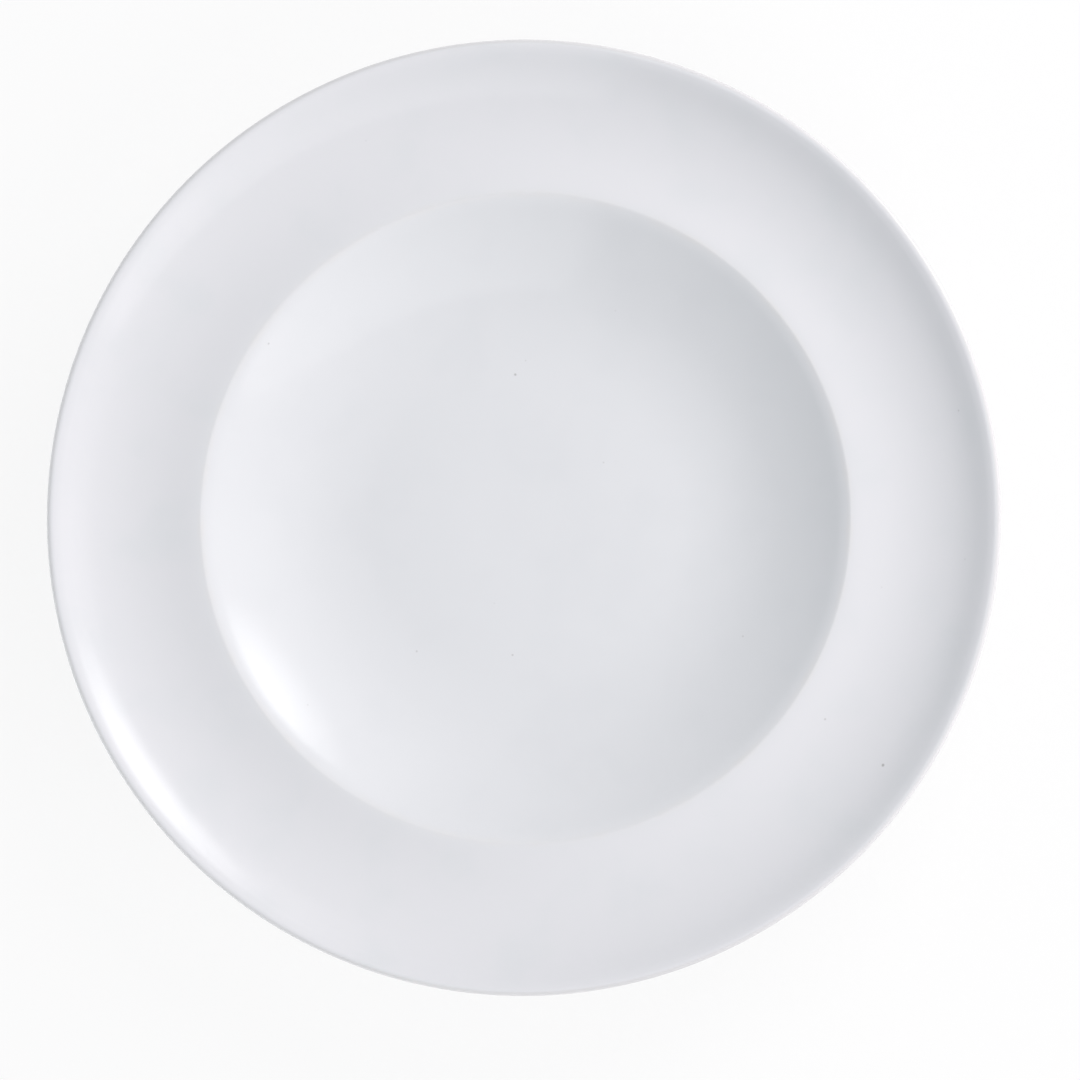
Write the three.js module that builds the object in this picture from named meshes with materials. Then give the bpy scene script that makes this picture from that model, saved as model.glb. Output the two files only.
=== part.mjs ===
// Salad plate in white porcelain: a shallow round well inside a wide rim that sweeps up to a fine edge.
// Millimetres, +Z up. The origin is the centre of the foot ring's standing face.
// The plate is one fired clay body under two coats of glaze. The outer coat covers the face, the edge and
// the underside down to the foot ring, and the base coat covers the recess inside the foot ring. The foot's
// standing face is wiped before the firing, so bare clay keeps the two coats apart.

import * as THREE from 'three';

// Face, from the middle out: arcs, each with its level run along the radius and the slope in degrees that it
// ends on. An arc that keeps its slope is straight.
const FLOOR_DIAMETER = 73.8; // level floor of the well
const WALL = [
  { run: 13.3, slope: 9.8 },
  { run: 10, slope: 21.4 },
  { run: 14, slope: 32 },
  { run: 0.9, slope: 32 }, // steepest band of the wall
];
const LIP = [
  { run: 3.1, slope: 21.5 },
  { run: 0.6, slope: 0 }, // up to the crest of the lip
];
const BACK = [
  { run: 3.1, slope: -3 },
  { run: 5, slope: 0 }, // down to the lowest line of the rim
];
const SWEEP = [
  { run: 8.1, slope: 8.2 },
  { run: 8.1, slope: 18.8 },
  { run: 6.5, slope: 34 },
  { run: 1.8, slope: 34 }, // steepest band of the rim
];
const BROW = [
  { run: 2, slope: 23 },
  { run: 0.7, slope: 0 }, // up to the crown of the edge
];
const EDGE_RADIUS = 0.9; // nose that turns the crown round to the underside

// Thicknesses, glaze included
const BASE_THICKNESS = 4.6; // floor of the well, from which the wall thins towards the edge
const GLAZE_THICKNESS = 0.3;

// Foot ring under the well
const FOOT_DIAMETER = 116; // middle line of the standing face
const FOOT_WIDTH = 3; // bare standing face
const FOOT_LEAN = 20; // degrees by which both flanks lean away from upright
const FOOT_RECESS = 2.5; // glazed ceiling inside the ring above the standing face
const GLAZE_LINE = 0.7; // height at which the glaze stops on the flanks
const FOOT_FILLET = 2.2; // outer flank into the underside
const RECESS_FILLET = 0.9; // inner flank into the ceiling

// Facets
const SIDES = 48;
const FACET_TURN = 12; // degrees at most between the facets of a curve
const NOSE_TURN = 30; // degrees at most between the facets of the edge's nose
const FILLET_STEPS = 3;

const radians = THREE.MathUtils.degToRad;

// A profile is a chain of points in the half plane (radius, height), in the order in which a finger follows
// the plate's skin: from the middle of the floor, over the edge, to the middle of the underside.
function profilePoint(radius, height, slope) {
  return Object.assign(new THREE.Vector2(radius, height), { slope });
}

// Facets of a circular arc that leaves a point along its slope, covers a level run and ends on another slope
function arcPoints(start, run, endSlope) {
  const turn = endSlope - start.slope;
  const count = Math.max(Math.ceil(Math.abs(turn) / radians(FACET_TURN)), 1);
  const points = [];
  for (let i = 1; i <= count; i += 1) {
    const slope = start.slope + (turn * i) / count;
    const sines = [start.slope, slope, endSlope].map(Math.sin);
    const across = i < count ? (run * (sines[1] - sines[0])) / (sines[2] - sines[0]) : run;
    const up = across * Math.tan((start.slope + slope) / 2);
    points.push(profilePoint(start.x + across, start.y + up, slope));
  }
  return points;
}

// A chain of tangent arcs from a point
function chain(start, arcs) {
  const points = [start];
  for (const { run, slope } of arcs) {
    points.push(...arcPoints(points.at(-1), run, radians(slope)));
  }
  return points;
}

// Face: the wall of the well, the lip with its back, the sweep of the rim and the brow
const floorHeight = FOOT_RECESS + BASE_THICKNESS;
const floorEdge = profilePoint(FLOOR_DIAMETER / 2, floorHeight, 0);
const wall = chain(floorEdge, WALL);
const lip = chain(wall.at(-1), [...LIP, ...BACK]);
const sweep = chain(lip.at(-1), SWEEP);
const brow = sweep.at(-1);
const browToCrown = chain(brow, BROW).slice(1);
const crown = browToCrown.at(-1);
const floorToBrow = [...wall, ...lip.slice(1), ...sweep.slice(1)];

// Edge: a round nose from the crown to the line that runs back under the brow at the brow's own slope
const nose = [];
let turned = 0;
for (const end of [Math.PI / 2, Math.PI - brow.slope]) {
  const count = Math.ceil((end - turned) / radians(NOSE_TURN));
  for (let i = 1; i <= count; i += 1) {
    const turn = turned + ((end - turned) * i) / count;
    const out = EDGE_RADIUS * Math.sin(turn);
    const down = EDGE_RADIUS * (1 - Math.cos(turn));
    nose.push(new THREE.Vector2(crown.x + out, crown.y - down));
  }
  turned = end;
}

// Underside: the face set back by the wall, which thins evenly from the floor to what the nose leaves
const noseDrop = crown.y - EDGE_RADIUS - brow.y;
const noseReach = (crown.x - brow.x) * Math.sin(brow.slope) - noseDrop * Math.cos(brow.slope);
const browThickness = EDGE_RADIUS + noseReach;

function setBack(point) {
  const outward = (point.x - floorEdge.x) / (brow.x - floorEdge.x);
  const thickness = THREE.MathUtils.lerp(BASE_THICKNESS, browThickness, outward);
  const across = thickness * Math.sin(point.slope);
  const down = thickness * Math.cos(point.slope);
  return profilePoint(point.x + across, point.y - down, point.slope);
}

// The lip turns too tightly to be set back, so one arc takes the underside from the wall to level
const underWall = wall.map(setBack);
const underSweep = sweep.map(setBack);
const wallTop = underWall.at(-1);
const underLipRun = (underSweep[0].y - wallTop.y) / Math.tan(wallTop.slope / 2);
const underLip = arcPoints(wallTop, underLipRun, 0);
const underside = [...underWall, ...underLip, ...underSweep].reverse();
underside.push(new THREE.Vector2(0, FOOT_RECESS));

function undersideHeight(radius) {
  const inner = underside.findIndex((point) => point.x <= radius);
  const a = underside[inner];
  const b = underside[inner - 1];
  return THREE.MathUtils.mapLinear(radius, a.x, b.x, a.y, b.y);
}

// Glazed flank of the foot ring at a height: side is 1 for the outer flank and -1 for the inner one
function flank(side, height) {
  const lean = radians(FOOT_LEAN);
  const fromMiddle = FOOT_WIDTH / 2 + GLAZE_THICKNESS / Math.cos(lean) + height * Math.tan(lean);
  return new THREE.Vector2(FOOT_DIAMETER / 2 + side * fromMiddle, height);
}

// A fillet at the top of a flank takes half of the glazed flank at most
function filletOn(flankTop, fillet) {
  return Math.min(fillet, (flankTop - GLAZE_LINE) / 2);
}

// Outer skin: face, edge and underside, then a fillet into the outer flank down to the glaze line
const outsideFlank = (point) => point.x - flank(1, point.y).x;
const inside = underside.findIndex((point) => outsideFlank(point) < 0);
const under = underside[inside];
const over = underside[inside - 1];
const crossing = outsideFlank(over) / (outsideFlank(over) - outsideFlank(under));
const heel = over.clone().lerp(under, crossing);
const heelFillet = filletOn(heel.y, FOOT_FILLET);
const heelStart = new THREE.Vector2(heel.x + heelFillet, undersideHeight(heel.x + heelFillet));
const heelCurve = new THREE.QuadraticBezierCurve(heelStart, heel, flank(1, heel.y - heelFillet));
const outerSkin = [
  new THREE.Vector2(0, floorHeight),
  ...floorToBrow,
  ...browToCrown,
  ...nose,
  ...underside.filter((point) => point.x > heelStart.x),
  ...heelCurve.getPoints(FILLET_STEPS),
  flank(1, GLAZE_LINE),
];

// Base skin: from the glaze line up the inner flank, a fillet, then the ceiling of the recess
const ceilingCorner = flank(-1, FOOT_RECESS);
const ceilingFillet = filletOn(FOOT_RECESS, RECESS_FILLET);
const ceilingCurve = new THREE.QuadraticBezierCurve(
  flank(-1, FOOT_RECESS - ceilingFillet),
  ceilingCorner,
  new THREE.Vector2(ceilingCorner.x - ceilingFillet, FOOT_RECESS),
);
const baseSkin = [
  flank(-1, GLAZE_LINE),
  ...ceilingCurve.getPoints(FILLET_STEPS),
  new THREE.Vector2(0, FOOT_RECESS),
];

// Face of the clay under a coat: the coat's skin moved into the plate by the glaze's thickness
function underGlaze(skin) {
  return skin.map((point, i) => {
    const before = skin[Math.max(i - 1, 0)];
    const after = skin[Math.min(i + 1, skin.length - 1)];
    const way = after.clone().sub(before).normalize();
    return new THREE.Vector2(point.x + way.y * GLAZE_THICKNESS, point.y - way.x * GLAZE_THICKNESS);
  });
}

const outerClay = underGlaze(outerSkin);
const baseClay = underGlaze(baseSkin);
const standingFace = [1, -1].map((side) => {
  return new THREE.Vector2(FOOT_DIAMETER / 2 + side * (FOOT_WIDTH / 2), 0);
});

// A sub-part turned from its outline, which starts and ends on the plate's axis
function turnedPart(name, outline, material) {
  const geometry = new THREE.LatheGeometry(outline.toReversed(), SIDES);
  geometry.rotateX(Math.PI / 2);
  const mesh = new THREE.Mesh(geometry, material);
  mesh.name = name;
  return mesh;
}

const bareClay = new THREE.MeshStandardMaterial({ color: 0xe4e2dd, roughness: 0.75, metalness: 0 });
const whiteGlaze = new THREE.MeshStandardMaterial({ color: 0xe7e8ea, roughness: 0.1, metalness: 0 });

const plate = new THREE.Group();
plate.add(
  turnedPart('clay_body', [...outerClay, ...standingFace, ...baseClay], bareClay),
  turnedPart('outer_glaze', [...outerSkin, ...outerClay.toReversed()], whiteGlaze),
  turnedPart('base_glaze', [...baseClay.toReversed(), ...baseSkin], whiteGlaze),
);

export default plate;
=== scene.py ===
# Salad plate in white glazed porcelain: a fired clay body, an outer coat of glaze and a coat in the base.
# Blender's units are metres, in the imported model's frame with +Z up. The plate's measures are in millimetres.

import math
from collections import namedtuple

import bmesh
import bpy
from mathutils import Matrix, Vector


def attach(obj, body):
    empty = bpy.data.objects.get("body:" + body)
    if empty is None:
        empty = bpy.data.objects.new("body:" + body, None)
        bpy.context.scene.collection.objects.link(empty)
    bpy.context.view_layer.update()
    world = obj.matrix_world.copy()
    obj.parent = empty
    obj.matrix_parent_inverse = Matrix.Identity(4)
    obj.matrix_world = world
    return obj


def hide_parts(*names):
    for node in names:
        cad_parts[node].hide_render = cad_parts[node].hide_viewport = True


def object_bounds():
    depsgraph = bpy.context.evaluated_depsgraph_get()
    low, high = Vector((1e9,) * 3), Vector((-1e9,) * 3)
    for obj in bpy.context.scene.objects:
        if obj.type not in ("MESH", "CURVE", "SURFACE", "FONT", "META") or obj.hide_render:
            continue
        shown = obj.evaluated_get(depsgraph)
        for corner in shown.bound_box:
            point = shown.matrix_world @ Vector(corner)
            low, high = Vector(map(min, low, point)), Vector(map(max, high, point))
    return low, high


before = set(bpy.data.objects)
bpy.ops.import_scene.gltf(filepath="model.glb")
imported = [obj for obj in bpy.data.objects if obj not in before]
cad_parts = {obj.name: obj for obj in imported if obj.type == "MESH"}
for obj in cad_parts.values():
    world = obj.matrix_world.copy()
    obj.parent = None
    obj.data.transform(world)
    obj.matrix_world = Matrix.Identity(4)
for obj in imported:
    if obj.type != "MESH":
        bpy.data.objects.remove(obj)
cad_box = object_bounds()

MM = 0.001

# Face, from the floor's edge out: each arc has its level run along the radius, and the slope in degrees that
# it ends on
FLOOR_DIAMETER = 73.8  # floor of the well
DIP = ((5.0, -0.6), (7.5, 1.7), (8.0, 0.0))  # faint dip in the middle of the floor
WALL = ((13.3, 9.8), (10.0, 21.4), (14.0, 32.0), (0.9, 32.0))  # side of the well, to its steepest band
LIP = ((3.1, 21.5), (0.6, 0.0))  # turn of the well's lip, up to its crest
BACK = ((3.1, -3.0), (5.0, 0.0))  # fall behind the lip, down to the lowest line of the rim
SWEEP = ((8.1, 8.2), (8.1, 18.8), (6.5, 34.0), (1.8, 34.0))  # rise of the rim, to its steepest band
BROW = ((2.0, 23.0), (0.7, 0.0))  # turn of the rim, up to the crown of the edge
EDGE_RADIUS = 0.9  # nose that turns the crown round to the underside

# Thicknesses, glaze included
BASE_THICKNESS = 4.6  # floor of the well, from which the wall thins towards the edge
GLAZE_THICKNESS = 0.3

# Foot ring under the well
FOOT_DIAMETER = 116.0  # middle line of the standing face
FOOT_WIDTH = 3.0  # bare standing face
FOOT_LEAN = math.radians(20)  # both flanks away from upright
FOOT_RECESS = 2.5  # glazed ceiling inside the ring above the standing face
GLAZE_LINE = 0.7  # height at which the glaze stops on the flanks
HEEL_RADIUS = 65.0  # distance from the axis at which the underside starts to turn down into the foot
RECESS_FILLET = 0.9  # inner flank into the ceiling
STANDING_ROUND = 0.35  # corners of the standing face, rubbed round with a wet sponge

# Facets of the finished meshes
WHEEL_STEPS = 224
FACET_TURN = math.radians(1.6)  # between the facets of a wide bend
TIGHT_TURN = math.radians(12)  # between those of a tight one
TIGHT_BEND = 3.0  # radius under which a bend is tight
WELD = 1e-6

# A station is a point on the plate's skin, with the direction in which a finger moves past it from the middle
# of the floor, over the edge, to the middle of the underside. The plate is on the finger's right.
Station = namedtuple("Station", "radius height heading")


def arc_to(start, run, heading):
    """The end of an arc that leaves a station along its heading, covers a level run and ends on a heading."""
    rise = run * math.tan((start.heading + heading) / 2)
    return Station(start.radius + run, start.height + rise, heading)


def bend_to(start, bend, heading):
    """The end of an arc of a given radius, to the left where the radius is positive."""
    run = bend * (math.sin(heading) - math.sin(start.heading))
    rise = bend * (math.cos(start.heading) - math.cos(heading))
    return Station(start.radius + run, start.height + rise, heading)


def arcs_from(start, arcs):
    """Stations at the ends of a chain of arcs, each given by its level run and its last slope in degrees."""
    stations = [start]
    for run, slope in arcs:
        stations.append(arc_to(stations[-1], run, math.radians(slope)))
    return stations


# Face of the plate
floor_height = FOOT_RECESS + BASE_THICKNESS
floor_edge = Station(FLOOR_DIAMETER / 2, floor_height, 0.0)
face = arcs_from(floor_edge, WALL + LIP + BACK + SWEEP)
dip_rise = arcs_from(Station(0.0, 0.0, 0.0), DIP)[-1].height
dip = arcs_from(Station(0.0, floor_height - dip_rise, 0.0), DIP)
brow = face[-1]
lip_crest = face[len(WALL + LIP)]
brow_turn = arcs_from(brow, BROW)[1:]
crown = brow_turn[-1]
nose_end = bend_to(crown, -EDGE_RADIUS, brow.heading - math.pi)

# Underside: the face set back by the wall, which thins evenly from the floor to what the nose leaves
nose_drop = crown.height - EDGE_RADIUS - brow.height
brow_thickness = (EDGE_RADIUS + (crown.radius - brow.radius) * math.sin(brow.heading)
                  - nose_drop * math.cos(brow.heading))
taper = (BASE_THICKNESS - brow_thickness) / (brow.radius - floor_edge.radius)
thinning = math.atan(taper)


def wall_thickness(station):
    """Thickness of the plate at a station of its face."""
    return BASE_THICKNESS - taper * (station.radius - floor_edge.radius)


def set_back_radius(station):
    """Distance from the axis of the point on the underside that lies across the wall from a station."""
    return station.radius + wall_thickness(station) * math.sin(station.heading)


def under_to(start, station):
    """The end of an arc along the underside, across the wall from a station of the face."""
    return arc_to(start, set_back_radius(station) - start.radius, station.heading + thinning - math.pi)


# Under the rim, from the nose in to the rim's lowest line
wall_end = len(WALL)
rim_start = len(WALL + LIP + BACK)
brow_run = set_back_radius(brow) - nose_end.radius
under = [nose_end, Station(nose_end.radius + brow_run,
                           nose_end.height + brow_run * math.tan(brow.heading), nose_end.heading)]
for station in reversed(face[rim_start:-1]):
    under.append(under_to(under[-1], station))

# The lip turns too tightly to be set back, so a line and one arc lead from there to the wall
wall_top = face[wall_end]
under_rim = under[-1]
under_wall_height = wall_top.height - wall_thickness(wall_top) * math.cos(wall_top.heading)
under_reach = under_rim.radius - set_back_radius(wall_top)
line_rise = math.tan(thinning)
arc_rise = math.tan(thinning + wall_top.heading / 2)
arc_run = (under_rim.height - under_wall_height - under_reach * line_rise) / (arc_rise - line_rise)
line_run = under_reach - arc_run
under.append(Station(under_rim.radius - line_run, under_rim.height - line_run * line_rise, under_rim.heading))
for station in reversed(face[wall_end - 1:wall_end + 1]):
    under.append(under_to(under[-1], station))

# Outer flank of the foot, which a fillet joins to the underside
low_station = face[wall_end - 2]
low_radius = set_back_radius(low_station)
low_sine = math.sin(low_station.heading + thinning)
high_sine = math.sin(under[-1].heading + math.pi)
heel_share = (HEEL_RADIUS - low_radius) / (under[-1].radius - low_radius)
heel_slope = math.asin(low_sine + heel_share * (high_sine - low_sine))
heel = arc_to(under[-1], HEEL_RADIUS - under[-1].radius, heel_slope - math.pi)
flank_heading = -math.pi / 2 - FOOT_LEAN
glazed_half = FOOT_WIDTH / 2 + GLAZE_THICKNESS / math.cos(FOOT_LEAN)
heel_reach = heel.radius - FOOT_DIAMETER / 2 - glazed_half - heel.height * math.tan(FOOT_LEAN)
heel_fillet = heel_reach / (math.sin(heel.heading) - math.sin(flank_heading)
                            - math.tan(FOOT_LEAN) * (math.cos(flank_heading) - math.cos(heel.heading)))
heel_low = bend_to(heel, heel_fillet, flank_heading)


def flank(side, height, heading, half=glazed_half):
    """A station on a flank of the foot: side is 1 for the outer flank and -1 for the inner one."""
    return Station(FOOT_DIAMETER / 2 + side * (half + height * math.tan(FOOT_LEAN)), height, heading)


outer_skin = [*dip, *face, *brow_turn, *under, heel, heel_low, flank(1, GLAZE_LINE, flank_heading)]

# Inner flank and ceiling of the recess
inner_heading = -1.5 * math.pi + FOOT_LEAN
ceiling_reach = RECESS_FILLET * math.tan((math.pi / 2 - FOOT_LEAN) / 2)
ceiling_corner = flank(-1, FOOT_RECESS, inner_heading)
ceiling_low = Station(ceiling_corner.radius + ceiling_reach * math.sin(FOOT_LEAN),
                      FOOT_RECESS - ceiling_reach * math.cos(FOOT_LEAN), inner_heading)
ceiling_edge = bend_to(ceiling_low, RECESS_FILLET, -math.pi)
ceiling_middle = Station(0.0, FOOT_RECESS, -math.pi)
base_skin = [flank(-1, GLAZE_LINE, inner_heading), ceiling_low, ceiling_edge, ceiling_middle]

# Bare standing face between the two coats, with its corners rubbed round
standing_reach = STANDING_ROUND * math.tan((math.pi / 2 - FOOT_LEAN) / 2)
standing_outer = Station(FOOT_DIAMETER / 2 + FOOT_WIDTH / 2 + standing_reach * math.sin(FOOT_LEAN),
                         standing_reach * math.cos(FOOT_LEAN), flank_heading)
standing_edge = bend_to(standing_outer, -STANDING_ROUND, -math.pi)
standing_inner = Station(FOOT_DIAMETER - standing_edge.radius, 0.0, -math.pi)
standing_foot = [standing_outer, standing_edge, standing_inner,
                 bend_to(standing_inner, -STANDING_ROUND, inner_heading)]


def skin_point(station, inset):
    """Where a station lies once it is moved into the plate by an inset, in metres."""
    inward = Vector((math.sin(station.heading), 0, -math.cos(station.heading)))
    return (Vector((station.radius, 0, station.height)) + inset * inward) * MM


def draw_to(mesh, tip, target):
    """Draws a straight edge from the tip of an outline and returns the new tip."""
    drawn = bmesh.ops.extrude_vert_indiv(mesh, verts=[tip])
    tip = drawn["verts"][0]
    tip.co = target
    return tip


def sweep_to(mesh, tip, centre, turn):
    """Draws an arc from the tip of an outline, anticlockwise about a centre, and returns the new tip."""
    tight = (tip.co - centre).length < TIGHT_BEND * MM
    steps = math.ceil(abs(turn) / (TIGHT_TURN if tight else FACET_TURN))
    swept = bmesh.ops.spin(mesh, geom=[tip], cent=centre, axis=(0, -1, 0), angle=turn, steps=steps)
    return next(vertex for vertex in swept["geom_last"] if isinstance(vertex, bmesh.types.BMVert))


def draw_skin(mesh, stations, inset):
    """Draws the arcs and lines through some stations, and returns the first and the last vertex."""
    first = mesh.verts.new(skin_point(stations[0], inset))
    tip = first
    for start, end in zip(stations, stations[1:]):
        turn = end.heading - start.heading
        here = skin_point(start, inset)
        there = skin_point(end, inset)
        if abs(turn) < WELD:
            tip = draw_to(mesh, tip, there)
            continue
        bend = (there - here).length / (2 * math.sin(turn / 2))
        left = Vector((-math.sin(start.heading), 0, math.cos(start.heading)))
        tip = sweep_to(mesh, tip, here + bend * left, turn)
    return first, tip


def glaze_rim(mesh, tip, station, turn):
    """Rounds off the edge of a coat, from its skin to the clay under it, and returns the new tip."""
    return sweep_to(mesh, tip, skin_point(station, GLAZE_THICKNESS / 2), turn)


def turn_round(mesh, steps):
    """Turns an outline round the plate's axis and closes its seam and its poles."""
    outline = mesh.verts[:] + mesh.edges[:]
    bmesh.ops.spin(mesh, geom=outline, cent=(0, 0, 0), axis=(0, 0, 1), angle=math.tau,
                   steps=steps, use_merge=True)
    bmesh.ops.remove_doubles(mesh, verts=mesh.verts[:], dist=WELD)
    bmesh.ops.recalc_face_normals(mesh, faces=mesh.faces[:])


def make_object(name, mesh, material):
    """A smooth object from a finished bmesh."""
    for mesh_face in mesh.faces:
        mesh_face.smooth = True
    data = bpy.data.meshes.new(name)
    mesh.to_mesh(data)
    mesh.free()
    data.materials.append(material)
    made = bpy.data.objects.new(name, data)
    bpy.context.collection.objects.link(made)
    return made


def turned_piece(name, mesh, material):
    """Turns an outline into a closed piece of the plate."""
    turn_round(mesh, WHEEL_STEPS)
    piece = make_object(name, mesh, material)
    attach(piece, "root")
    return piece


# Finishes, as node groups that read a place on the plate in millimetres
NUMBER = "NodeSocketFloat"
VECTOR = "NodeSocketVector"


def add_node(tree, kind, values=None, **settings):
    """Adds a node with its settings, and fills its inputs with numbers or with the outputs of other nodes."""
    node = tree.nodes.new(kind)
    for name, setting in settings.items():
        setattr(node, name, setting)
    for key, value in (values or {}).items():
        if isinstance(value, bpy.types.NodeSocket):
            tree.links.new(value, node.inputs[key])
        else:
            node.inputs[key].default_value = value
    return node


def reckon(tree, operation, *numbers):
    """The output of a Math node on some numbers."""
    return add_node(tree, "ShaderNodeMath", dict(enumerate(numbers)), operation=operation).outputs[0]


def rise(tree, value, low, high, top=1.0):
    """A mask that goes smoothly from 0 to its top while a value goes from low to high."""
    limits = {"Value": value, "From Min": low, "From Max": high, "To Max": top}
    return add_node(tree, "ShaderNodeMapRange", limits, interpolation_type="SMOOTHSTEP").outputs["Result"]


def band(tree, value, middle, reach):
    """A mask that is 1 where a value is at the middle of a band and 0 outside its reach."""
    off = reckon(tree, "ABSOLUTE", reckon(tree, "SUBTRACT", value, middle))
    return rise(tree, off, reach, 0.0)


def mix_colours(tree, share, first, second):
    """A colour that goes from the first to the second with a share from 0 to 1."""
    return add_node(tree, "ShaderNodeMix", {0: share, 6: first, 7: second}, data_type="RGBA").outputs[2]


def node_group(name, inputs, outputs):
    """A shader node group with number inputs, and its two end nodes."""
    group = bpy.data.node_groups.new(name, "ShaderNodeTree")
    for socket_name, value in inputs.items():
        socket = group.interface.new_socket(socket_name, in_out="INPUT", socket_type=NUMBER)
        socket.default_value = value
    for socket_name, kind in outputs.items():
        group.interface.new_socket(socket_name, in_out="OUTPUT", socket_type=kind)
    return group, group.nodes.new("NodeGroupInput"), group.nodes.new("NodeGroupOutput")


def place_group(tree, group, **values):
    """A node group placed in a tree, with its inputs given by name."""
    return add_node(tree, "ShaderNodeGroup", node_tree=group, values=values).outputs


# Place on the plate: millimetres along the axes, distance from the axis and height above the table
plate_place, _, place_end = node_group("plate_place", {},
                                       {"Place": VECTOR, "Radius": NUMBER, "Height": NUMBER})
own_place = add_node(plate_place, "ShaderNodeTexCoord").outputs["Object"]
place_in_mm = add_node(plate_place, "ShaderNodeVectorMath", {0: own_place, "Scale": 1 / MM},
                       operation="SCALE").outputs[0]
level_place = add_node(plate_place, "ShaderNodeVectorMath", {0: place_in_mm, 1: (1, 1, 0)},
                       operation="MULTIPLY").outputs[0]
axis_distance = add_node(plate_place, "ShaderNodeVectorMath", {0: level_place},
                         operation="LENGTH").outputs["Value"]
place_parts = add_node(plate_place, "ShaderNodeSeparateXYZ", {0: place_in_mm})
plate_place.links.new(place_in_mm, place_end.inputs["Place"])
plate_place.links.new(axis_distance, place_end.inputs["Radius"])
plate_place.links.new(place_parts.outputs["Z"], place_end.inputs["Height"])

# Turning rings: faint ridges round the axis that the forming tool leaves, from -0.5 to 0.5
turning_rings, rings_start, rings_end = node_group("turning_rings", {"Spacing": 3.0}, {"Ridge": NUMBER})
ring_place = place_group(turning_rings, plate_place)
ring_count = reckon(turning_rings, "DIVIDE", ring_place["Radius"], rings_start.outputs["Spacing"])
ring_noise = add_node(turning_rings, "ShaderNodeTexNoise", {"W": ring_count, "Scale": 1.0, "Detail": 2.0},
                      noise_dimensions="1D").outputs[0]
turning_rings.links.new(reckon(turning_rings, "SUBTRACT", ring_noise, 0.5), rings_end.inputs["Ridge"])

# Clouds: soft uneven patches of a given size, from 0 to 1
clouds, clouds_start, clouds_end = node_group("clouds", {"Size": 10.0, "Detail": 2.0}, {"Cloud": NUMBER})
cloud_place = place_group(clouds, plate_place)
cloud_scale = reckon(clouds, "DIVIDE", 1.0, clouds_start.outputs["Size"])
cloud_noise = add_node(clouds, "ShaderNodeTexNoise", {"Vector": cloud_place["Place"], "Scale": cloud_scale,
                                                      "Detail": clouds_start.outputs["Detail"]}).outputs[0]
clouds.links.new(cloud_noise, clouds_end.inputs["Cloud"])


def face_height(radius):
    """Height of the plate's face at a distance from the axis."""
    for start, end in zip(outer_skin, outer_skin[1:]):
        if start.radius <= radius <= end.radius:
            share = (radius - start.radius) / (end.radius - start.radius)
            sine = math.sin(start.heading) + share * (math.sin(end.heading) - math.sin(start.heading))
            return arc_to(start, radius - start.radius, math.asin(sine)).height
    return crown.height


SPECK_NOTCH = 0.25  # size of the notches round a speck
SPECK_RAGGED = 0.15  # depth of the notches
SPECK_HALO = 0.08  # faded border


def speck_group(name, specks):
    """A group whose mask is a few specks, each with its place, its size across and its strength."""
    group, _, end = node_group(name, {}, {"Speck": NUMBER})
    place = place_group(group, plate_place)["Place"]
    ragged = reckon(group, "MULTIPLY", place_group(group, clouds, Size=SPECK_NOTCH)["Cloud"], SPECK_RAGGED)
    mask = 0.0
    for spot, across, strength in specks:
        away = add_node(group, "ShaderNodeVectorMath", {0: place, 1: spot},
                        operation="DISTANCE").outputs["Value"]
        edge = reckon(group, "ADD", away, ragged)
        border = across / 2 + SPECK_HALO
        core = across / 6
        mask = reckon(group, "MAXIMUM", mask, rise(group, edge, border, core, strength))
    group.links.new(mask, end.inputs["Speck"])
    return group


# Iron specks in the face's glaze: place in millimetres, size across and strength
FACE_SPECKS = ((86.5, -59.5, 1.1, 0.5), (-3.4, 35.2, 0.9, 0.42), (-62.2, 42.3, 0.8, 0.28),
               (72.4, -48.4, 0.8, 0.27), (-4.0, -32.6, 0.8, 0.26), (-27.2, -31.7, 0.8, 0.24),
               (52.0, -28.2, 0.75, 0.2), (104.7, 25.6, 0.75, 0.2), (18.0, 13.9, 0.7, 0.18),
               (-0.9, 38.6, 0.65, 0.15), (-52.9, -44.8, 0.65, 0.15), (106.2, -10.1, 0.65, 0.13),
               (21.0, 50.5, 0.6, 0.12), (-38.5, 91.1, 0.6, 0.11), (-8.4, -20.1, 0.6, 0.11),
               (86.0, -16.7, 0.6, 0.11))
BASE_SPECKS = ((20.5, -31.0, 0.6, 0.35), (-38.0, 12.5, 0.5, 0.25), (6.0, 44.0, 0.5, 0.2))

face_specks = speck_group("face_specks", [((x, y, face_height(math.hypot(x, y))), across, strength)
                                          for x, y, across, strength in FACE_SPECKS])
base_specks = speck_group("base_specks", [((x, y, FOOT_RECESS), across, strength)
                                          for x, y, across, strength in BASE_SPECKS])

# Colours
GLAZE_WELL = (0.796, 0.81, 0.825, 1)  # thick in the well, where the glaze is faintly cool
GLAZE_RIM = (0.803, 0.81, 0.828, 1)
GLAZE_THIN = (0.80, 0.79, 0.77, 1)  # over the lip's crest, where the clay shows through
GLAZE_EDGE_SHADE = (0.735, 0.735, 0.738, 1)  # painted shade round the edge, a grey that darkens its light
GLAZE_PATCH = (0.782, 0.797, 0.813, 1)
GLAZE_STOP = (0.74, 0.71, 0.65, 1)  # at the edge of a coat
SPECK = (0.16, 0.14, 0.12, 1)
CLAY_PALE = (0.79, 0.772, 0.735, 1)
CLAY_DARK = (0.70, 0.675, 0.63, 1)
CLAY_FLASH = (0.72, 0.62, 0.50, 1)  # next to the glaze, where the fire tints the clay
CLAY_SCUFF = (0.46, 0.45, 0.43, 1)


def finish(name):
    """A new material, with its node tree and its shader."""
    material = bpy.data.materials.new(name)
    material.use_nodes = True
    return material, material.node_tree, material.node_tree.nodes["Principled BSDF"]


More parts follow.
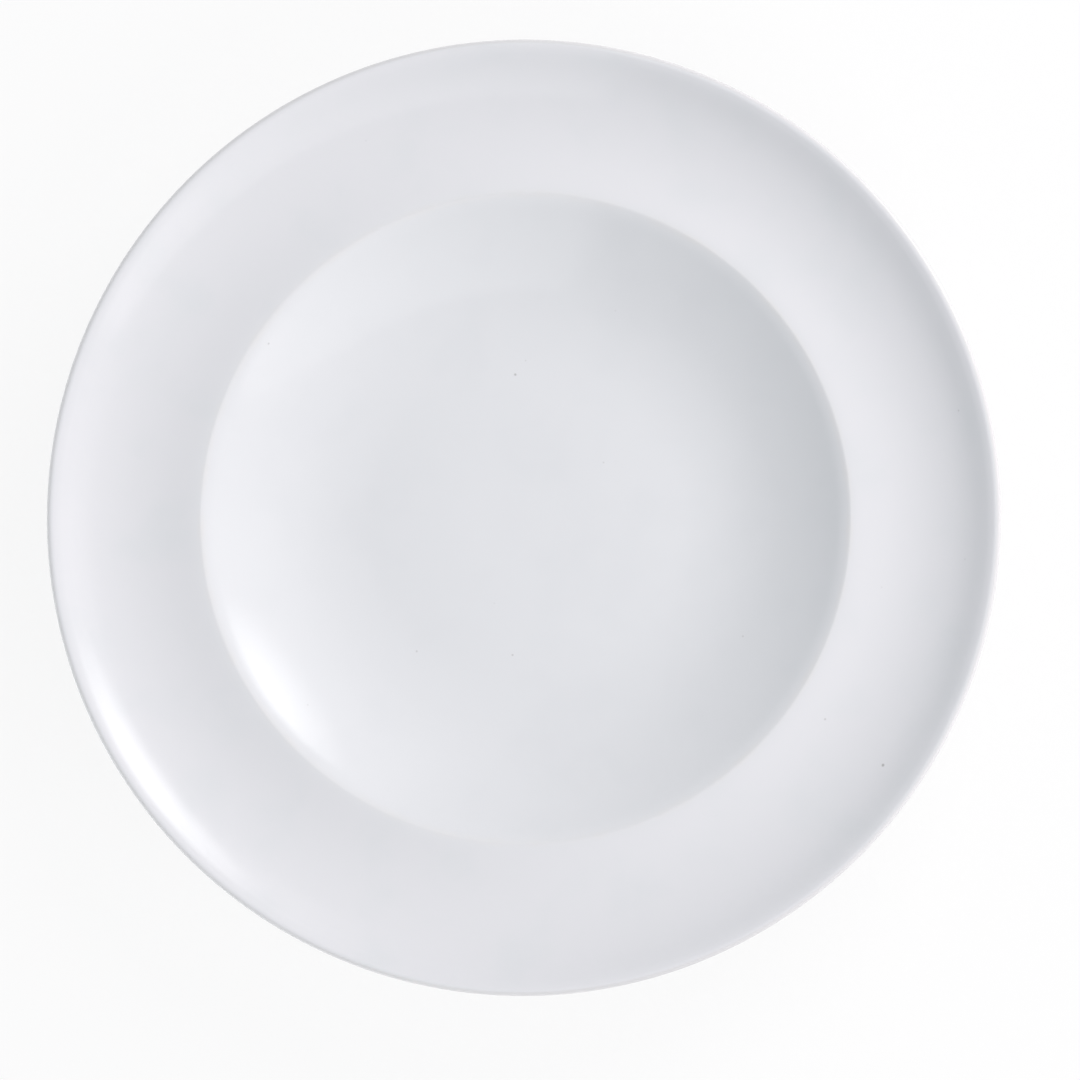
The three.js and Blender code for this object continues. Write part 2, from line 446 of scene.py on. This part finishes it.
def set_relief(tree, shader, relief):
    """Bumps a shader's surface by a height in millimetres."""
    bump = add_node(tree, "ShaderNodeBump", {"Height": relief, "Distance": MM, "Strength": 1.0})
    tree.links.new(bump.outputs["Normal"], shader.inputs["Normal"])


# Glaze: sizes and heights of its unevenness and reaches of its tints, in millimetres, with the ranges of the
# clouds that show
PATCH_SIZE = 16.0
PATCH_RANGE = (0.45, 0.8)
FLOW_SIZE = 7.0
FLOW_RANGE = (0.2, 0.9)
RIPPLE_SIZE = 4.5
PEEL_SIZE = 0.9
RING_SPACING = 3.2
RIDGE_HEIGHT = 0.003
RIPPLE_HEIGHT = 0.003
PEEL_HEIGHT = 0.0003
SPECK_HEIGHT = 0.02
TINT_REACH = 4.0  # on both sides of the lip's crest, from the well's tint to the rim's
THIN_REACH = 1.6  # of the thin coat over the lip
THIN_INSET = 0.5  # of its middle, on the well's side of the crest
THIN_SHARE = 0.5
EDGE_SHADE_START = 0.3  # of the painted shade round the edge, inside the crown
EDGE_SHADE_FULL = 0.4  # where it is full, outside the crown
STOP_START = 0.45  # of the tint at the coat's edge, above the glaze line
STOP_FULL = 0.1  # where it is full, below the line
STOP_SHARE = 0.7
GLAZE_ROUGHNESS = 0.075
FLOW_ROUGHNESS = 0.05
PEEL_ROUGHNESS = 0.02
SPECK_ROUGHNESS = 0.2


def glaze_finish(name, specks):
    """Glossy white glaze: faintly uneven in tint and gloss, thin on the lip, with specks and painted shade
    round the edge.
    """
    material, tree, shader = finish(name)
    place = place_group(tree, plate_place)
    patches = place_group(tree, clouds, Size=PATCH_SIZE)["Cloud"]
    flow = place_group(tree, clouds, Size=FLOW_SIZE)["Cloud"]
    ripple = place_group(tree, clouds, Size=RIPPLE_SIZE, Detail=0.0)["Cloud"]
    orange_peel = place_group(tree, clouds, Size=PEEL_SIZE, Detail=1.0)["Cloud"]
    ridge = place_group(tree, turning_rings, Spacing=RING_SPACING)["Ridge"]
    speck = place_group(tree, specks)["Speck"]

    on_rim = rise(tree, place["Radius"], lip_crest.radius - TINT_REACH, lip_crest.radius + TINT_REACH)
    colour = mix_colours(tree, on_rim, GLAZE_WELL, GLAZE_RIM)
    colour = mix_colours(tree, rise(tree, patches, *PATCH_RANGE), colour, GLAZE_PATCH)
    crest = band(tree, place["Radius"], lip_crest.radius - THIN_INSET, THIN_REACH)
    thin = reckon(tree, "MULTIPLY", crest, rise(tree, flow, *FLOW_RANGE, THIN_SHARE))
    colour = mix_colours(tree, thin, colour, GLAZE_THIN)
    # Painted shade: a grey darkening round the edge of the plate
    edge = rise(tree, place["Radius"], crown.radius - EDGE_SHADE_START, crown.radius + EDGE_SHADE_FULL)
    colour = mix_colours(tree, edge, colour, GLAZE_EDGE_SHADE)
    stop = rise(tree, place["Height"], GLAZE_LINE + STOP_START, GLAZE_LINE - STOP_FULL, STOP_SHARE)
    colour = mix_colours(tree, stop, colour, GLAZE_STOP)
    colour = mix_colours(tree, speck, colour, SPECK)
    tree.links.new(colour, shader.inputs["Base Color"])

    gloss = reckon(tree, "MULTIPLY_ADD", flow, FLOW_ROUGHNESS, GLAZE_ROUGHNESS)
    gloss = reckon(tree, "MULTIPLY_ADD", orange_peel, PEEL_ROUGHNESS, gloss)
    gloss = reckon(tree, "MULTIPLY_ADD", speck, SPECK_ROUGHNESS, gloss)
    tree.links.new(gloss, shader.inputs["Roughness"])

    relief = reckon(tree, "MULTIPLY", ridge, RIDGE_HEIGHT)
    relief = reckon(tree, "MULTIPLY_ADD", ripple, RIPPLE_HEIGHT, relief)
    relief = reckon(tree, "MULTIPLY_ADD", orange_peel, PEEL_HEIGHT, relief)
    relief = reckon(tree, "MULTIPLY_ADD", speck, SPECK_HEIGHT, relief)
    set_relief(tree, shader, relief)
    return material


# Clay: the same for its own unevenness and tints
CLAY_PATCH_SIZE = 9.0
CLAY_PATCH_RANGE = (0.3, 0.75)
GRAIN_SIZE = 0.22
GRAIN_RANGE = (0.55, 0.8)
SAND_SIZE = 0.5
SAND_RANGE = (0.74, 0.82)
RUBBED_SPACING = 0.28
WORN_RANGE = (0.5, 0.95)
GRAIN_HEIGHT = 0.03
RUBBED_HEIGHT = 0.015
FLASH_REACH = 0.6  # on both sides of the glaze line
STANDING_REACH = 0.12  # up from the table
GRAIN_SHARE = 0.35
SCUFF_SHARE = 0.6
SAND_SHARE = 0.5
CLAY_ROUGHNESS = 0.68
GRAIN_ROUGHNESS = 0.2
STANDING_POLISH = 0.12  # by which standing and sliding smooth the clay


def clay_finish(name):
    """Bare porcelain: matte, fine-grained, tinted next to the glaze, rubbed and scuffed where it stands."""
    material, tree, shader = finish(name)
    place = place_group(tree, plate_place)
    patches = place_group(tree, clouds, Size=CLAY_PATCH_SIZE, Detail=3.0)["Cloud"]
    grain = place_group(tree, clouds, Size=GRAIN_SIZE, Detail=2.0)["Cloud"]
    sand = place_group(tree, clouds, Size=SAND_SIZE, Detail=0.0)["Cloud"]
    rubbed = place_group(tree, turning_rings, Spacing=RUBBED_SPACING)["Ridge"]

    colour = mix_colours(tree, rise(tree, patches, *CLAY_PATCH_RANGE), CLAY_PALE, CLAY_DARK)
    colour = mix_colours(tree, rise(tree, grain, *GRAIN_RANGE, GRAIN_SHARE), colour, CLAY_DARK)
    colour = mix_colours(tree, band(tree, place["Height"], GLAZE_LINE, FLASH_REACH), colour, CLAY_FLASH)
    standing = rise(tree, place["Height"], STANDING_REACH, 0.0)
    worn = rise(tree, reckon(tree, "ADD", patches, rubbed), *WORN_RANGE, SCUFF_SHARE)
    colour = mix_colours(tree, reckon(tree, "MULTIPLY", standing, worn), colour, CLAY_SCUFF)
    colour = mix_colours(tree, rise(tree, sand, *SAND_RANGE, SAND_SHARE), colour, CLAY_SCUFF)
    tree.links.new(colour, shader.inputs["Base Color"])

    matte = reckon(tree, "MULTIPLY_ADD", grain, GRAIN_ROUGHNESS, CLAY_ROUGHNESS)
    matte = reckon(tree, "MULTIPLY_ADD", standing, -STANDING_POLISH, matte)
    tree.links.new(matte, shader.inputs["Roughness"])

    relief = reckon(tree, "MULTIPLY", grain, GRAIN_HEIGHT)
    relief = reckon(tree, "MULTIPLY_ADD", rubbed, RUBBED_HEIGHT, relief)
    set_relief(tree, shader, relief)
    return material


face_glaze = glaze_finish("white_glaze", face_specks)
recess_glaze = glaze_finish("recess_glaze", base_specks)
bare_clay = clay_finish("bare_clay")


def clay_outline():
    """Outline of the clay: its skin under the outer coat, its bare foot, and its skin under the base coat."""
    mesh = bmesh.new()
    _, outer_end = draw_skin(mesh, outer_skin, GLAZE_THICKNESS)
    foot_start, foot_end = draw_skin(mesh, standing_foot, 0.0)
    base_start, _ = draw_skin(mesh, base_skin, GLAZE_THICKNESS)
    mesh.edges.new((outer_end, foot_start))
    mesh.edges.new((foot_end, base_start))
    return mesh


def coat_outline(skin, at_end):
    """Outline of a coat: its skin and the clay's face, with a round edge where the coat stops."""
    mesh = bmesh.new()
    skin_ends = draw_skin(mesh, skin, 0.0)
    clay_ends = draw_skin(mesh, skin, GLAZE_THICKNESS)
    stop = -1 if at_end else 0
    turn = -math.pi if at_end else math.pi
    tip = glaze_rim(mesh, skin_ends[stop], skin[stop], turn)
    bmesh.ops.pointmerge(mesh, verts=[tip, clay_ends[stop]], merge_co=clay_ends[stop].co)
    return mesh


clay_body = turned_piece("plate_body", clay_outline(), bare_clay)
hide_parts("clay_body")

outer_coat = turned_piece("plate_outer_glaze", coat_outline(outer_skin, True), face_glaze)
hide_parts("outer_glaze")

base_coat = turned_piece("plate_base_glaze", coat_outline(base_skin, False), recess_glaze)
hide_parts("base_glaze")

# Studio floor, which curves up into a low wall all round, far from the plate
FLOOR_REACH = 9.0
FLOOR_GAP = 0.00005  # under the standing face
SWEEP_BEND = 0.4
SWEEP_WALL = 0.4
STUDIO_STEPS = 96
FLOOR_WHITE = 0.9
FLOOR_GLOW = 0.87  # share of plain white that the camera sees; the rest takes the light and the shadow


def seen_directly(tree):
    """A mask that is 1 where the camera, a reflection or a view through glass looks at a surface."""
    path = add_node(tree, "ShaderNodeLightPath").outputs
    mask = path["Is Camera Ray"]
    for kind in ("Is Glossy Ray", "Is Transmission Ray"):
        mask = reckon(tree, "MAXIMUM", mask, path[kind])
    return mask


def floor_finish(name):
    """White paper that looks nearly white however it is lit, and keeps a shadow."""
    material, tree, _ = finish(name)
    tree.nodes.clear()
    paper = add_node(tree, "ShaderNodeBsdfDiffuse", {"Color": (FLOOR_WHITE, FLOOR_WHITE, FLOOR_WHITE, 1)})
    glow = add_node(tree, "ShaderNodeEmission", {"Strength": 1.0})
    share = reckon(tree, "MULTIPLY", seen_directly(tree), FLOOR_GLOW)
    blend = add_node(tree, "ShaderNodeMixShader", {0: share, 1: paper.outputs[0], 2: glow.outputs[0]})
    add_node(tree, "ShaderNodeOutputMaterial", {"Surface": blend.outputs[0]})
    return material


floor_mesh = bmesh.new()
tip = floor_mesh.verts.new((0, 0, cad_box[0].z - FLOOR_GAP))
tip = draw_to(floor_mesh, tip, (FLOOR_REACH, 0, tip.co.z))
tip = sweep_to(floor_mesh, tip, tip.co + Vector((0, 0, SWEEP_BEND)), math.pi / 2)
tip = draw_to(floor_mesh, tip, tip.co + Vector((0, 0, SWEEP_WALL)))
turn_round(floor_mesh, STUDIO_STEPS)
bmesh.ops.reverse_faces(floor_mesh, faces=floor_mesh.faces[:])
studio_floor = make_object("studio_floor", floor_mesh, floor_finish("studio_floor_white"))

# Studio light
ROOM_LIGHT = 0.513
ROOM_TINT = (0.96, 1.0, 1.04)
LAMP_WHITE = (1.0, 1.0, 1.0)

world = bpy.data.worlds.new("studio")
bpy.context.scene.world = world
world.use_nodes = True
room = world.node_tree.nodes["Background"]
room.inputs["Color"].default_value = (*ROOM_TINT, 1)
room.inputs["Strength"].default_value = ROOM_LIGHT


def softbox(name, place, size, glow, facing=None, tint=LAMP_WHITE, spread=math.pi):
    """A rectangular lamp that faces a direction, or else the plate; at full spread a glow of 1 is white."""
    facing = facing or -Vector(place)
    lamp = bpy.data.lights.new(name, "AREA")
    lamp.shape = "RECTANGLE"
    lamp.size, lamp.size_y = size
    lamp.spread = spread
    lamp.energy = glow * math.pi * size[0] * size[1]
    lamp.color = tint
    stand = bpy.data.objects.new(name, lamp)
    stand.location = place
    stand.rotation_euler = Vector(facing).to_track_quat("-Z", "Y").to_euler()
    stand.visible_camera = False
    bpy.context.collection.objects.link(stand)
    return stand


# Softboxes that show in the glaze and don't light it
KEY_PLACE = (0.45, 0.39, 0.31)
KEY_FACING = (-1, 0, 0)
KEY_SIZE = (0.78, 0.62)
KEY_GLOW = 0.2
SIDE_PLACE = (0.85, -0.9, 0.85)
SIDE_FACING = (0, 1, 0)
SIDE_SIZE = (2.3, 1.7)
SIDE_GLOW = 0.62
key_softbox = softbox("key_softbox", KEY_PLACE, KEY_SIZE, KEY_GLOW, KEY_FACING)
side_softbox = softbox("side_softbox", SIDE_PLACE, SIDE_SIZE, SIDE_GLOW, SIDE_FACING)

# Each has a hot middle, where its bulb sits behind the cloth
KEY_BULB_PLACE = (0.437, 0.341, 0.230)
KEY_BULB_SIZE = (0.60, 0.64)
KEY_BULB_GLOW = 0.25
KEY_BULB_SPREAD = math.radians(40)
SIDE_BULB_PLACE = (0.66, -0.52, 0.33)
SIDE_BULB_SIZE = (0.50, 0.70)
SIDE_BULB_GLOW = 0.02
SIDE_BULB_SPREAD = math.radians(34)
key_bulb = softbox("key_bulb", KEY_BULB_PLACE, KEY_BULB_SIZE, KEY_BULB_GLOW, spread=KEY_BULB_SPREAD)
side_bulb = softbox("side_bulb", SIDE_BULB_PLACE, SIDE_BULB_SIZE, SIDE_BULB_GLOW, spread=SIDE_BULB_SPREAD)
for lamp in (key_softbox, side_softbox, key_bulb, side_bulb):
    lamp.visible_diffuse = False

# Fill lamps, which light the plate and don't show in the glaze
FILL_TINT = (1.06, 1.0, 1.005)
FILL_SIZE = (0.60, 0.60)
BACK_FILL_PLACE = (0.49, 0.58, 0.49)
BACK_FILL_GLOW = 3.85
FRONT_FILL_PLACE = (0.53, -0.53, 0.49)
FRONT_FILL_GLOW = 2.83
back_fill = softbox("back_fill", BACK_FILL_PLACE, FILL_SIZE, BACK_FILL_GLOW, tint=FILL_TINT)
front_fill = softbox("front_fill", FRONT_FILL_PLACE, FILL_SIZE, FRONT_FILL_GLOW, tint=FILL_TINT)

# A low white card beside the plate, which fills the shaded side of its edge
CARD_PLACE = (-0.34, -0.11, 0.022)
CARD_FACING = (0.34, 0.11, 0)
CARD_SIZE = (0.50, 0.01)
CARD_GLOW = 1.2
CARD_SPREAD = math.radians(8)
edge_card = softbox("edge_card", CARD_PLACE, CARD_SIZE, CARD_GLOW, CARD_FACING, spread=CARD_SPREAD)
for lamp in (back_fill, front_fill, edge_card):
    lamp.visible_glossy = False

# Camera, straight above with a slight lean
PHOTO_SIDE = 1080
PLATE_MIDDLE = (522.65, 517.25)  # in the photograph's pixels, from its top left corner
PLATE_REACH = 478.6  # in the photograph's pixels
LENS = 500.0
SENSOR = 36.0
LEAN = math.radians(4.7)
LEAN_TOWARDS = math.radians(-23)

plate_radius = cad_box[1].x
edge_height = (crown.height - EDGE_RADIUS) * MM
pixel = plate_radius / PLATE_REACH
aim = Vector(((PHOTO_SIDE / 2 - PLATE_MIDDLE[0]) * pixel,
              (PLATE_MIDDLE[1] - PHOTO_SIDE / 2) * pixel, edge_height))
away = Vector((math.sin(LEAN) * math.cos(LEAN_TOWARDS),
               math.sin(LEAN) * math.sin(LEAN_TOWARDS), math.cos(LEAN)))
camera_data = bpy.data.cameras.new("camera")
camera_data.lens = LENS
camera_data.sensor_width = SENSOR
camera = bpy.data.objects.new("camera", camera_data)
camera.location = aim + away * pixel * PHOTO_SIDE * LENS / SENSOR
camera.rotation_mode = "QUATERNION"
camera.rotation_quaternion = Vector((0, 0, 1)).rotation_difference(away)
bpy.context.collection.objects.link(camera)
bpy.context.scene.camera = camera
bpy.context.scene.view_settings.view_transform = "Standard"
